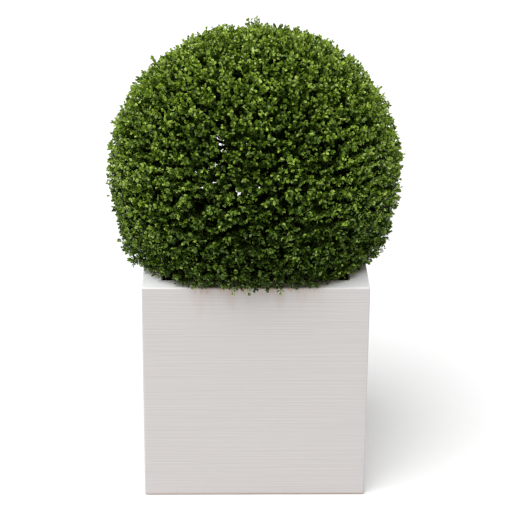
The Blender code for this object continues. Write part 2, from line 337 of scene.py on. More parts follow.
def brushed_dust_and_shade(tree, place):
    """How much soil dust lies on the walls, which follows their furrows, scores and scratches, with
    painted shade along the bristle furrows and painted highlight on their ridges.
    """
    # Bristle marks 3 mm apart and up to 300 mm long, each furrow with its ridge beside it: the furrow is
    # dust and painted shade, the ridge a painted highlight.
    marks = []
    for shift in (0.0, RIDGE_SHIFT):
        drawn = add(
            tree, "ShaderNodeMapping", Vector=place, Scale=BRISTLE_SCALE, Location=(0, 0, shift)
        )
        marks.append(add(tree, "ShaderNodeTexNoise", Vector=drawn.outputs[0], Scale=1.0, Detail=1.0))
    furrow, ridge = marks
    bristles = add(
        tree, "ShaderNodeMath", {"operation": "SUBTRACT"}, _0=furrow.outputs[0], _1=ridge.outputs[0]
    )
    # Dust on the walls, plus the bristle marks' painted shade and painted highlight.
    dust = add(
        tree, "ShaderNodeMath", {"operation": "MULTIPLY_ADD"},
        _0=bristles.outputs[0], _1=BRISTLE_DUST_AND_SHADE, _2=DUST,
    )

    # The deeper scores are in the mesh, which says where they are.
    scores = add(tree, "ShaderNodeAttribute", {"attribute_name": "score"})
    settled_dust_and_shade = add(
        tree, "ShaderNodeMath", {"operation": "MULTIPLY_ADD"},
        _0=scores.outputs["Fac"], _1=SCORE_DUST, _2=dust.outputs[0],
    )

    # Scratches a millimetre wide and 100 to 500 mm long, where grit ran under the brush.
    level = add(tree, "ShaderNodeMapping", Vector=place, Scale=SCRATCH_SCALE)
    line = add(tree, "ShaderNodeTexNoise", Vector=level.outputs[0], Scale=1.0, Detail=0.0)
    centred = add(tree, "ShaderNodeMath", {"operation": "SUBTRACT"}, _0=line.outputs[0], _1=0.5)
    distance = add(tree, "ShaderNodeMath", {"operation": "ABSOLUTE"}, _0=centred.outputs[0])
    thin = add(
        tree, "ShaderNodeMapRange", Value=distance.outputs[0], From_Min=SCRATCH_WIDTH, From_Max=0.0
    )
    patches = add(
        tree, "ShaderNodeMapping", Vector=place, Scale=SCRATCH_PATCH_SCALE, Location=(3, 3, 3)
    )
    patch = add(tree, "ShaderNodeTexNoise", Vector=patches.outputs[0], Scale=1.0, Detail=1.0)
    shown = add(
        tree, "ShaderNodeMapRange", Value=patch.outputs[0],
        From_Min=SCRATCH_PATCH[0], From_Max=SCRATCH_PATCH[1], To_Max=SCRATCH_DUST,
    )
    scratch = add(
        tree, "ShaderNodeMath", {"operation": "MULTIPLY"}, _0=thin.outputs[0], _1=shown.outputs[0]
    )
    dust_wear_and_shade = add(
        tree, "ShaderNodeMath", {"operation": "ADD"}, _0=scratch.outputs[0], _1=settled_dust_and_shade.outputs[0]
    )
    return dust_wear_and_shade.outputs[0]


def rain_stained(tree, place, split, colour):
    """The colour with soil-stained water on it: short tongues along the edge and a few longer runs."""
    squares = [
        add(tree, "ShaderNodeMath", {"operation": "POWER"}, _0=split.outputs[axis], _1=2.0)
        for axis in "XY"
    ]
    summed = add(
        tree, "ShaderNodeMath", {"operation": "ADD"},
        _0=squares[0].outputs[0], _1=squares[1].outputs[0],
    )
    radius = add(tree, "ShaderNodeMath", {"operation": "SQRT"}, _0=summed.outputs[0])
    under_leaves = add(
        tree, "ShaderNodeMapRange", {"interpolation_type": "SMOOTHSTEP"},
        Value=radius.outputs[0], From_Min=STAINED_RADIUS[0], From_Max=STAINED_RADIUS[1],
    )
    for width, low, strength, start, full, shift in STAINS:
        below = add(
            tree, "ShaderNodeMapRange", Value=split.outputs["Z"], From_Min=RIM - low, From_Max=RIM
        )
        runs = add(
            tree, "ShaderNodeMapping", Vector=place, Scale=(1 / width, 1 / width, 4),
            Location=(shift, shift, 0),
        )
        streaks = add(
            tree, "ShaderNodeTexNoise", Vector=runs.outputs[0], Scale=1.0, Detail=2.0, Roughness=0.5
        )
        reach = add(
            tree, "ShaderNodeMath", {"operation": "MULTIPLY_ADD"},
            _0=below.outputs[0], _1=0.5, _2=streaks.outputs[0],
        )
        stain = add(
            tree, "ShaderNodeMapRange", {"interpolation_type": "SMOOTHSTEP"},
            Value=reach.outputs[0], From_Min=start, From_Max=full, To_Max=strength,
        )
        masked = add(
            tree, "ShaderNodeMath", {"operation": "MULTIPLY"},
            _0=stain.outputs[0], _1=under_leaves.outputs[0],
        )
        stained = add(
            tree, "ShaderNodeMix", {"data_type": "RGBA"},
            Factor=masked.outputs[0], A=colour, B=linear(STAIN),
        )
        colour = stained.outputs["Result"]
    return colour


def planter_material():
    """Rotomoulded polyethylene, off-white and matt, brushed level while it was soft.

    The grooves catch soil dust, the bristle marks carry painted shade and painted highlight, the lip is
    painted lighter for the light from above, and rain has washed brown runs down from the rim under the
    leaves.
    """
    material, tree, shader = new_material("brushed_polyethylene")
    place = add(tree, "ShaderNodeTexCoord").outputs["Object"]
    split = add(tree, "ShaderNodeSeparateXYZ", Vector=place)
    dust_wear_and_shade = brushed_dust_and_shade(tree, place)
    tint = add(
        tree, "ShaderNodeMapRange", Value=dust_wear_and_shade, From_Min=DUST_AND_SHADE_RANGE[0], From_Max=DUST_AND_SHADE_RANGE[1]
    )
    plastic = add(
        tree, "ShaderNodeMix", {"data_type": "RGBA"},
        Factor=tint.outputs[0], A=linear(CLEAN_PLASTIC), B=linear(DUSTY_SHADED_PLASTIC),
    )

    # Painted light: the lip is coloured lighter than the walls, where the light from above falls on it.
    top = add(
        tree, "ShaderNodeMapRange", {"interpolation_type": "SMOOTHSTEP"},
        Value=split.outputs["Z"], From_Min=RIM - LIP_FROM[0], From_Max=RIM - LIP_FROM[1],
    )
    wall = add(
        tree, "ShaderNodeMix", {"data_type": "RGBA"},
        Factor=top.outputs[0], A=plastic.outputs["Result"], B=linear(LIT_LIP_PLASTIC),
    )
    colour = rain_stained(tree, place, split, wall.outputs["Result"])

    # A brown line of dirt along the foot.
    foot = add(
        tree, "ShaderNodeMapRange", {"interpolation_type": "SMOOTHSTEP"}, Value=split.outputs["Z"],
        From_Min=DIRT_HEIGHT[0], From_Max=DIRT_HEIGHT[1], To_Max=DIRT_STRENGTH,
    )
    dirty = add(
        tree, "ShaderNodeMix", {"data_type": "RGBA"},
        Factor=foot.outputs[0], A=colour, B=linear(DIRT),
    )
    tree.links.new(dirty.outputs["Result"], shader.inputs["Base Color"])
    bump = add(tree, "ShaderNodeBump", Height=dust_wear_and_shade, Strength=0.3, Distance=-0.0005)
    tree.links.new(bump.outputs[0], shader.inputs["Normal"])
    shader.inputs["Roughness"].default_value = 0.55
    shader.inputs["IOR"].default_value = 1.5
    return material


# ---- soil ----

SOIL_CELLS = 90
SOIL_LUMP = 0.005
SOIL_LUMPS_PER_METRE = 45
SOIL_EDGE = 0.004  # the strip along the planter over which the lumps fade
CRUMBS = 900
CRUMB_SIZE = (0.0012, 0.0042)
CRUMB_ROUGHNESS = 0.25  # of its size
CRUMBS_OFF_EDGE = 0.006


def make_soil(material):
    """Soil that fills the planter, with a lumpy top and crumbs lying on it."""
    half = HALF_WIDTH - LIP_WIDTH - CLEARANCE
    bm = bmesh.new()
    bmesh.ops.create_grid(bm, x_segments=SOIL_CELLS, y_segments=SOIL_CELLS, size=half)
    bmesh.ops.translate(bm, vec=(0, 0, SOIL_LEVEL), verts=bm.verts)
    for v in bm.verts:
        inset = min(1, (half - max(abs(v.co.x), abs(v.co.y))) / SOIL_EDGE)
        lump = noise.fractal(v.co * SOIL_LUMPS_PER_METRE, 0.9, 2.1, 4)
        v.co.z -= inset * SOIL_LUMP * (0.5 - 0.5 * lump)
    for v in extrude_open_edge(bm):
        v.co.z = RIM - LIP_DEPTH - CLEARANCE
    wide = (HALF_WIDTH - WALL - CLEARANCE) / half
    bmesh.ops.scale(bm, vec=(wide, wide, 1), verts=extrude_open_edge(bm))
    for v in extrude_open_edge(bm):
        v.co.z = FLOOR + CLEARANCE
    bmesh.ops.contextual_create(bm, geom=boundary(bm))
    bmesh.ops.recalc_face_normals(bm, faces=bm.faces)

    rng = random.Random(SEED)
    for _ in range(CRUMBS):
        x, y = (rng.uniform(-1, 1) * (half - CRUMBS_OFF_EDGE) for _ in range(2))
        size = rng.uniform(*CRUMB_SIZE)
        angle = rng.uniform(0, math.tau)
        axis = Vector([rng.random() for _ in range(3)])
        turn = Matrix.Rotation(angle, 4, axis)
        place = Matrix.Translation((x, y, SOIL_LEVEL - 0.45 * SOIL_LUMP)) @ turn
        crumb = bmesh.ops.create_icosphere(bm, subdivisions=1, radius=size, matrix=place)["verts"]
        for v in crumb:
            v.co += Vector([rng.uniform(-1, 1) for _ in range(3)]) * size * CRUMB_ROUGHNESS
    soil = mesh_object("soil_crumbs", bm, material)
    soil.data.shade_smooth()
    soil.data.set_sharp_from_angle(angle=math.radians(50))
    return soil


PEAT_GRAINS_PER_METRE = 220
MOIST_PEAT = "#2A1C12"
PEAT_FIBRE = "#6A4E38"


def soil_material():
    """Moist peaty compost: dark brown crumbs with paler fibres."""
    material, tree, shader = new_material("peat_compost")
    place = add(tree, "ShaderNodeTexCoord").outputs["Object"]
    crumbs = add(
        tree, "ShaderNodeTexNoise", Vector=place, Scale=PEAT_GRAINS_PER_METRE, Detail=6.0, Roughness=0.7
    )
    tone = add(
        tree, "ShaderNodeMix", {"data_type": "RGBA"},
        Factor=crumbs.outputs[0], A=linear(MOIST_PEAT), B=linear(PEAT_FIBRE),
    )
    tree.links.new(tone.outputs["Result"], shader.inputs["Base Color"])
    bump = add(tree, "ShaderNodeBump", Height=crumbs.outputs[0], Strength=0.8, Distance=0.0015)
    tree.links.new(bump.outputs[0], shader.inputs["Normal"])
    shader.inputs["Roughness"].default_value = 0.95
    return material


# ---- stem ----

STEM_FOOT_RADIUS = 0.046
STEM_NECK_RADIUS = 0.026
STEM_TIP_RADIUS = 0.019
STEM_FLARE_HEIGHT = 0.055
ROOT_RIBS = 5
ROOT_RIB_DEPTH = 0.28  # of the radius at the foot
BARK_SIDES = 72
BARK_RINGS = 90
BARK_DEPTH = 0.0011
BARK_INSET = 0.0012  # keeps the relief inside the stem's own radius
PLATES_AROUND = 4.5
PLATES_PER_METRE = 22
BARK_SCALE = (150, 150, 30)  # cracks per metre: 7 mm apart, drawn out lengthwise


def bark_relief(angle, height):
    """Plates between upright cracks, from -1 to 1."""
    around = Vector((
        math.cos(angle) * PLATES_AROUND,
        math.sin(angle) * PLATES_AROUND,
        height * PLATES_PER_METRE,
    ))
    return noise.fractal(around, 0.8, 2.2, 3)


def make_stem(material):
    """A short trunk with a root flare that fades into ribs, and cracked bark."""
    bm = bmesh.new()
    foot = Vector((0, 0, STEM_LOW.z))
    loop = None
    for i in range(BARK_RINGS):
        share = i / (BARK_RINGS - 1)
        centre = foot.lerp(STEM_TIP, share)
        height = share * (STEM_TIP.z - foot.z)
        flare = max(0.0, 1 - height / STEM_FLARE_HEIGHT) ** 2
        radius = STEM_NECK_RADIUS + (STEM_TIP_RADIUS - STEM_NECK_RADIUS) * share
        ring = bmesh.ops.create_circle(
            bm, segments=BARK_SIDES, radius=1, matrix=Matrix.Translation(centre)
        )
        for v in ring["verts"]:
            out = v.co - centre
            angle = math.atan2(out.y, out.x)
            ribs = 1 - ROOT_RIB_DEPTH * flare * (0.5 + 0.5 * math.cos(ROOT_RIBS * angle + 0.7))
            swell = (radius + (STEM_FOOT_RADIUS - STEM_NECK_RADIUS) * flare) * ribs
            v.co = centre + out * (swell - BARK_INSET + BARK_DEPTH * bark_relief(angle, height))
        edges = list({e for v in ring["verts"] for e in v.link_edges})
        if loop:
            bmesh.ops.bridge_loops(bm, edges=loop + edges)
        else:
            bmesh.ops.contextual_create(bm, geom=edges)
        loop = edges
    bmesh.ops.contextual_create(bm, geom=loop)
    bmesh.ops.recalc_face_normals(bm, faces=bm.faces)
    stem = mesh_object("stem_bark", bm, material)
    stem.data.shade_smooth()
    stem.data.set_sharp_from_angle(angle=math.radians(60))
    return stem


def bark_material(name, crack, ridge):
    """Box bark: grey brown, corky, cracked lengthwise, darker down in the cracks."""
    material, tree, shader = new_material(name)
    place = add(tree, "ShaderNodeTexCoord").outputs["Object"]
    drawn = add(tree, "ShaderNodeMapping", Vector=place, Scale=BARK_SCALE)
    cracks = add(
        tree, "ShaderNodeTexNoise", Vector=drawn.outputs[0], Scale=1.0, Detail=6.0, Roughness=0.65
    )
    tone = add(
        tree, "ShaderNodeMix", {"data_type": "RGBA"},
        Factor=cracks.outputs[0], A=linear(crack), B=linear(ridge),
    )
    tree.links.new(tone.outputs["Result"], shader.inputs["Base Color"])
    bump = add(tree, "ShaderNodeBump", Height=cracks.outputs[0], Strength=0.7, Distance=0.0012)
    tree.links.new(bump.outputs[0], shader.inputs["Normal"])
    shader.inputs["Roughness"].default_value = 0.88
    return material


# ---- limbs inside the ball ----

# Name, how many, how far out they reach as a share of the ball, root and tip radius, sides, rings.
TWIGS = "twigs"
LIMBS = (
    ("boughs", 14, 0.36, 0.0100, 0.0060, 8, 7),
    ("branches", 70, 0.60, 0.0055, 0.0030, 6, 6),
    (TWIGS, 800, 0.78, 0.0025, 0.0014, 4, 5),
)
LIMB_JITTER = 0.30
LIMB_UNEVENNESS = 0.0020
FOLIAGE_FLOOR = RIM + 0.003
UNDERSIDE = (0.006, 0.032)  # heights above the foliage's floor of the twigs that close the ball below

# Gaps through the ball, where no limb or leaf crosses the line from the camera over the far rim: x
# and y in the frame, in pixels, and half width in metres.
PEEPHOLES = (
    (238.0, 194.5, 0.0026),
    (236.0, 190.8, 0.0011),
    (201.5, 188.5, 0.0014),
    (204.0, 195.5, 0.0014),
    (213.5, 182.0, 0.0012),
    (247.5, 195.0, 0.0015),
    (252.5, 176.0, 0.0011),
    (259.0, 187.0, 0.0013),
    (266.5, 195.5, 0.0010),
    (228.0, 152.5, 0.0013),
    (244.5, 149.5, 0.0009),
    (250.5, 151.0, 0.0009),
    (259.5, 138.5, 0.0009),
    (196.0, 169.5, 0.0010),
    (234.5, 166.0, 0.0010),
    (264.5, 165.5, 0.0009),
)

# How far things stay off a gap: limbs as a share of their radius, the rest in metres.
LIMB_MARGIN = 1.4
STEM_MARGIN = 0.0020
SHOOT_MARGIN = 0.0015
LEAF_MARGIN = 0.0022
LEAF_EDGE_MARGIN = 0.0004
CROSSING_STEPS = 9


def off_sight_lines(points):
    """For each peephole: how far the points lie off its line, as vectors, and its half width."""
    for x, y, half in PEEPHOLES:
        start, direction = (np.array(v) for v in sight_line(x, y))
        to_point = points - start
        yield to_point - (to_point @ direction)[..., None] * direction, half


def in_the_way(points, margin):
    """True where a point lies in one of the gaps or within a margin of it."""
    blocked = np.zeros(points.shape[:-1], bool)
    for off, half in off_sight_lines(points):
        blocked |= np.linalg.norm(off, axis=-1) < half + margin
    return blocked


def bent_aside(lines, margin):
    """Lines whose points are moved out of the gaps."""
    for off, half in off_sight_lines(lines):
        distance = np.linalg.norm(off, axis=-1, keepdims=True)
        lines = lines + off / distance * np.maximum(half + margin - distance, 0)
    return lines


def crossing(lines, radius):
    """True for lines of that radius that cross one of the gaps between two of their points."""
    t = np.linspace(0, 1, CROSSING_STEPS)[:, None]
    between = lines[:, :-1, None] * (1 - t) + lines[:, 1:, None] * t
    return in_the_way(between, radius).any(axis=(1, 2))


def curves(starts, start_directions, ends, end_directions, steps):
    """Points of cubic curves from starts to ends, as an array of curve, step and axis."""
    third = np.linalg.norm(ends - starts, axis=1, keepdims=True) / 3
    one = starts + start_directions * third
    two = ends - end_directions * third
    t = np.linspace(0, 1, steps)[None, :, None]
    u = 1 - t
    return (
        u ** 3 * starts[:, None] + 3 * u * u * t * one[:, None]
        + 3 * u * t * t * two[:, None] + t ** 3 * ends[:, None]
    )


def square_to(directions):
    """Two unit vectors at right angles to each direction and to each other."""
    helper = np.where(np.abs(directions[..., 2:]) < 0.9, [0.0, 0.0, 1.0], [1.0, 0.0, 0.0])
    first = unit(np.cross(directions, helper))
    return first, np.cross(directions, first)


def tubes(lines, root_radius, tip_radius, sides):
    """Points and triangles of closed tapering tubes along the lines."""
    count, steps = lines.shape[:2]
    first, second = square_to(unit(lines[:, -1] - lines[:, 0]))
    radius = np.linspace(root_radius, tip_radius, steps)[None, :, None, None]
    angle = np.arange(sides) * math.tau / sides
    ring = np.cos(angle)[None, :, None] * first[:, None] + np.sin(angle)[None, :, None] * second[:, None]
    points = lines[:, :, None] + radius * ring[:, None]
    side = np.arange(sides)
    after = (side + 1) % sides
    faces = []
    for step in range(steps - 1):
        low, high = step * sides, (step + 1) * sides
        faces.append(np.stack([low + side, low + after, high + after], axis=1))
        faces.append(np.stack([low + side, high + after, high + side], axis=1))
    cap = (steps - 1) * sides
    for k in range(1, sides - 1):
        faces.append(np.array([[0, k + 1, k], [cap, cap + k, cap + k + 1]]))
    faces = np.concatenate(faces)
    offsets = (np.arange(count) * steps * sides)[:, None, None]
    return points.reshape(-1, 3), (faces[None] + offsets).reshape(-1, 3)


def nearest(directions, others):
    """For each direction, the index of the closest of the others."""
    return np.argmax(directions @ others.T, axis=1)


def spread_directions(rng, count, jitter):
    """Directions on a spiral, each moved by up to a share of the distance to its neighbours."""
    directions = spiral_directions(count)
    spacing = math.sqrt(4 * math.pi / count)
    return unit(directions + rng.uniform(-1, 1, directions.shape) * jitter * spacing)


def grow_limbs(rng, material):
    """Boughs from the stem's tip, branches from the boughs, twigs from the branches.

    Each level's tips lie on a spiral round the ball. Each limb grows from the nearest of the level
    below, away from the heart. The lowest twigs flatten out over the planter's mouth. Returns the
    twigs' lines.
    """
    heart = np.array(HEART)
    centre = np.array(BALL_CENTRE)
    tips = np.array([STEM_TIP])
    ahead = np.array([[0.0, 0.0, 1.0]])
    for name, count, share, root_radius, tip_radius, sides, rings in LIMBS:
        outward = spread_directions(rng, count, LIMB_JITTER)
        ends = centre + outward * BALL_RADIUS * share
        if name == TWIGS:
            ends[:, 2] = np.maximum(ends[:, 2], FOLIAGE_FLOOR + rng.uniform(*UNDERSIDE, len(ends)))
        ends = ends[ends[:, 2] > FOLIAGE_FLOOR + root_radius]
        away = unit(ends - heart)
        parent = nearest(away, ahead) if len(tips) > 1 else np.zeros(len(ends), int)
        lines = curves(tips[parent], ahead[parent], ends, away, rings)
        lines[:, 1:-1] += rng.normal(0, LIMB_UNEVENNESS, lines[:, 1:-1].shape)
        lines[:, :, 2] = np.maximum(lines[:, :, 2], FOLIAGE_FLOOR + root_radius)
        lines = bent_aside(lines, LIMB_MARGIN * root_radius)
        lines = lines[~crossing(lines, tip_radius)]
        limb = array_object("box_" + name, *tubes(lines, root_radius, tip_radius, sides), material, True)
        finish_piece(limb, "bark")
        tips, ahead = lines[:, -1], unit(lines[:, -1] - lines[:, -2])
    return lines


# ---- shoots and leaves ----

SPRAYS = 980
SPRAY_SPACING = math.sqrt(4 * math.pi / SPRAYS)
SPRAY_JITTER = 0.40
SHOOTS = 6200
UNDER_SHOOTS = 4400  # shaded shoots whose tips stay below the clipped surface
UNDER_DEPTH = (0.007, 0.036)
# Painted shade: how much darker the leaves of the shoots below the surface are made.
UNDER_SHADE_TONE = 2.0
SPRAY_BASE = (0.83, 0.88)  # how far out the shoots of a spray part, as shares of the ball's radius
CLUMPING = 0.08  # how far a shoot's tip is drawn towards the middle of its spray
TIP_RADIUS = 0.3915  # from the ball's centre, before the leaves at the tip
LUMP_SIZE = 0.070
LUMP_SHIFT = 5.3
LUMP_HEIGHT = 0.006
PIT_SIZE = 0.034
PIT_SHIFT = 11.7
PIT_DEPTH = 0.006
# Painted shade: how much darker the leaves in the pits are made.
PIT_SHADE_TONE = 0.9
SPRAY_UNEVENNESS = 0.0035
TIER = 0.007  # how much further out a spray's upper side reaches than its lower side
# Painted shade: how much darker the leaves on a spray's lower side are made.
TIER_SHADE_TONE = 1.4
SHOOT_UNEVENNESS = 0.0035
MOST_OUT = 0.4030
CROWN = (0.0, 0.36, 0.93)
CROWN_TRIM = 0.009  # how much lower than the rest the crown is clipped
CROWN_WIDTH = 0.10
SKIRT_HEIGHT = 0.10  # above the rim; below this the ball keeps some of its width down to the rim
SKIRT_OUTGROWTH = 0.024
SKIRT_LEAN = 0.90  # how much more the skirt grows out on the left
SKIRT_FRONT = 0.35  # and how much less at the front
SKIRT_SHOOTS = 5200  # round the whole ball, of which those in the belt below are kept
SKIRT_BELT = (-0.56, -0.28)  # heights on the unit sphere
SKIRT_SHOOT_DEPTH = (0.0, 0.022)
SKIRT_DEPTH = 0.028  # how far leaves may hang below the rim, outside the planter
TIP_ABOVE_RIM = 0.008  # at least, of the ordinary shoots that reach out past the planter
OUTSIDE_BY = 0.012  # how far past the walls a tip has to be to count as one of those
TIP_CLEARANCE = 0.004  # of the other tips above the foliage's floor
LEAF_CLEARANCE = 0.002  # of the hanging leaves from the walls

# Shoots that hang over each side of the rim: place along the side, height of the tip from the rim.
HANGING_SHOOTS = (
    (-0.060, -0.006),
    (-0.020, -0.005),
    (0.063, -0.005),
)
HANGING_OUT = 0.329  # of their tips, from the planter's middle
HANGING_SHIFT = 0.02  # along the side, on the sides other than the front

# Shoots that have outgrown the last clipping: direction and reach of the tip.
OUTGROWN_SHOOTS = (
    ((0.013, 0.31, 0.95), 0.4065),
    ((0.000, 0.27, 0.96), 0.4025),
    ((0.030, 0.35, 0.94), 0.4015),
    ((-0.020, 0.34, 0.94), 0.4025),
    ((-0.045, 0.29, 0.95), 0.4010),
    ((-0.33, 0.30, 0.90), 0.4000),
    ((0.52, 0.28, 0.81), 0.4045),
    ((-0.68, 0.15, 0.72), 0.4040),
    ((0.84, 0.10, 0.54), 0.4045),
    ((-0.95, 0.05, 0.31), 0.4045),
    ((0.99, 0.00, 0.10), 0.4050),
    ((-0.98, -0.05, -0.18), 0.4045),
    ((0.92, -0.05, -0.38), 0.4050),
    ((-0.35, 0.75, 0.56), 0.4060),
    ((0.30, 0.93, 0.20), 0.4060),
)
SHOOT_RISE = 0.65  # how far a shoot's end turns up to the light
SHOOT_SPREAD = 0.60
SHOOT_JITTER = 0.6
SHOOT_SIZE_SPREAD = 0.12
SHOOT_STEPS = 4
SHOOT_RADII = (0.00110, 0.00045)
STEM_RADII = (0.0016, 0.0012)

LEAF_LENGTH = 0.0108
LEAF_BREADTH = 0.73  # of its length
LEAF_CORNERS = 7
PLAIN_LEAF_CORNERS = 5
LEAF_CUP = 0.22  # how high its edges stand, of its length
LEAF_RISE = 0.75  # how far leaves turn their upper sides to the light
LEAF_TWIST = 0.55
ANGLE_SPREAD = 26.0
SIZE_SPREAD = 0.12
ROLL_SPREAD = 0.35
PAIR_UNEVENNESS = (0.85, 1.15)
BARE_SHARE = 0.08  # of a line, at its root, without leaves

# Each pair of leaves on a shoot: distance from the tip, size, angle off the shoot, tone, which grows
# darker inwards for the leaves' age and as painted shade.
SHOOT_PAIRS = (
    (0.0002, 0.45, 22, 0.7),
    (0.0038, 0.82, 48, 0.9),
    (0.0115, 0.98, 62, 1.8),
    (0.0205, 1.02, 70, 2.9),
    (0.0295, 1.02, 74, 3.7),
    (0.0385, 1.02, 76, 4.4),
    (0.0475, 1.02, 78, 4.8),
    (0.0560, 1.02, 78, 5.2),
)
# The leaves on the sprays' stems and on the twigs inside take the darkest tones: painted shade.
STEM_PAIRS = tuple((0.001 + 0.0040 * k, 1.60, 66, 5.7) for k in range(13))
TWIG_PAIRS = tuple((0.002 + 0.0040 * k, 1.90, 66, 6.1) for k in range(30))

# Name, colour, roughness and gloss of each tone, from the tips inwards: the darker tones stand for older
# leaves and for painted shade deep in the ball.
TONES = (
    ("leaves_palest", "#9FB744", 0.23, 0.80),
    ("leaves_paler", "#82A130", 0.23, 0.80),
    ("leaves_midtone", "#658022", 0.26, 0.55),
    ("leaves_deep", "#4C6819", 0.31, 0.38),
    ("leaves_darker", "#3D5311", 0.36, 0.25),
    ("leaves_shade", "#2D420B", 0.42, 0.15),
    ("leaves_inner", "#263409", 0.55, 0.10),
)
PLAIN_FROM = 4  # the tones from here on lie deeper in, where a leaf of three faces is enough
SPRAY_TONE_SPREAD = 0.15
INNER_TONE_SPREAD = 0.2
PATCH_SIZE = 0.13
PATCH_SHIFT = 3.9
PATCH_TONE = 0.8
LOW_SHADE_TONE = 2.0  # painted shade: how much darker the leaves are made towards the rim
LOW_FROM = 0.1  # height on the unit sphere, as those of the next two are
CROWN_LIGHT_TONE = 0.7  # and painted light: how much lighter they are made on the crown
HIGH_FROM = 0.35
FRONT_SHADE_TONE = 3.0  # and painted shade: how much darker on the side that gets the least light
FRONT_FROM = 0.6
LEAF_TONE_SPREAD = 1.25
MOST_TRIANGLES = 199000  # in one piece


def leaf_template(corners):
    """One box leaf along +Y, upper side up: blunt tipped, broadest past the middle, cupped.

    Returns its points and its triangles, which fan out from its foot, for unit length.
    """
    bm = bmesh.new()
    turn = Matrix.Rotation(-math.pi / 2, 3, "Z")
    bmesh.ops.create_circle(bm, segments=corners, radius=0.5, cap_ends=True, cap_tris=True)
    bmesh.ops.rotate(bm, cent=(0, 0, 0), matrix=turn, verts=bm.verts)
    bmesh.ops.translate(bm, vec=(0, 0.5, 0), verts=bm.verts)
    foot = min(bm.verts, key=lambda v: v.co.y)
    middle = min(bm.verts, key=lambda v: (v.co - Vector((0, 0.5, 0))).length)
    bmesh.ops.pointmerge(bm, verts=[foot, middle], merge_co=foot.co)
    reach = max(v.co.y for v in bm.verts)
    for v in bm.verts:
        y = v.co.y / reach
        v.co.x *= LEAF_BREADTH * (0.80 + 0.32 * y)
        v.co.y = y
        edge = (v.co.x / (0.5 * LEAF_BREADTH)) ** 2
        v.co.z = LEAF_CUP * edge - 0.14 * y * y + 0.06 * y
    bm.verts.index_update()
    points = np.array([v.co[:] for v in bm.verts])
    triangles = np.array([[v.index for v in f.verts] for f in bm.faces])
    bm.free()
    return points, triangles


def place_copies(template, origins, across, along, normal, sizes):
    """Points and triangles of copies of a template, one for each origin and its three axes."""
    points, triangles = template
    axes = np.stack([across, along, normal], axis=1) * sizes[:, None, None]
    placed = np.einsum("pk,nkj->npj", points, axes) + origins[:, None]
    offsets = (np.arange(len(origins)) * len(points))[:, None, None]
    return placed, triangles[None] + offsets


def noise_at(directions, size, shift):
    """Smooth noise over the ball, from about -1 to 1, with lumps of a given size."""
    offset = Vector((shift, 2 * shift, 3 * shift))
    return np.array([noise.noise(Vector(p) / size + offset) for p in directions * BALL_RADIUS])


def special_tips(rng):
    """Tips and end directions of the shoots that hang over the rim and of the outgrown ones."""
    tips, ends = [], []
    for side in range(4):
        turn = Matrix.Rotation(side * math.pi / 2, 3, "Z")
        for along, height in HANGING_SHOOTS:
            shift = 0 if side == 0 else rng.uniform(-HANGING_SHIFT, HANGING_SHIFT)
            tips.append(turn @ Vector((along + shift, -HANGING_OUT, RIM + height)))
            ends.append(turn @ Vector((rng.uniform(-0.3, 0.3), -0.55, -0.8)).normalized())
    for direction, reach in OUTGROWN_SHOOTS:
        outward = Vector(direction).normalized()
        tips.append(BALL_CENTRE + outward * reach)
        ends.append((outward + Vector((0, 0, 0.5))).normalized())
    return np.array([v[:] for v in tips]), np.array([v[:] for v in ends])


def spread_sprays(rng):
    """The sprays' directions from the ball's centre, their tones, how far each stands out, and bases."""
    sprays = spread_directions(rng, SPRAYS, SPRAY_JITTER)
    tone = rng.normal(0, SPRAY_TONE_SPREAD, SPRAYS)
    reach = rng.normal(0, SPRAY_UNEVENNESS, SPRAYS)
    reach += LUMP_HEIGHT * noise_at(sprays, LUMP_SIZE, LUMP_SHIFT)
    bases = np.array(BALL_CENTRE) + sprays * BALL_RADIUS * rng.uniform(*SPRAY_BASE, SPRAYS)[:, None]
    return sprays, tone, reach, bases


def spread_shoots(rng):
    """The shoots' directions from the ball's centre, which ones are shaded, and their tips' depth."""
    shoots = np.concatenate([spread_directions(rng, n, SHOOT_JITTER) for n in (SHOOTS, UNDER_SHOOTS)])
    belt = spread_directions(rng, SKIRT_SHOOTS, SHOOT_JITTER)
    belt = belt[(belt[:, 2] > SKIRT_BELT[0]) & (belt[:, 2] < SKIRT_BELT[1])]
    under = np.concatenate([np.arange(len(shoots)) >= SHOOTS, np.zeros(len(belt), bool)])
    depth = under * rng.uniform(*UNDER_DEPTH, len(under))
    depth[len(shoots):] = rng.uniform(*SKIRT_SHOOT_DEPTH, len(belt))
    return np.concatenate([shoots, belt]), under, depth


def skirt(shoots):
    """How much further out the ball reaches near the rim: most on the left, least at the front."""
    height = BALL_CENTRE.z + shoots[:, 2] * TIP_RADIUS - RIM
    low = np.clip(1 - height / SKIRT_HEIGHT, 0, 1)
    leftwards, forwards = np.maximum(-shoots[:, 0], 0), np.maximum(-shoots[:, 1], 0)
    return SKIRT_OUTGROWTH * low * (1 + SKIRT_LEAN * leftwards - SKIRT_FRONT * forwards)


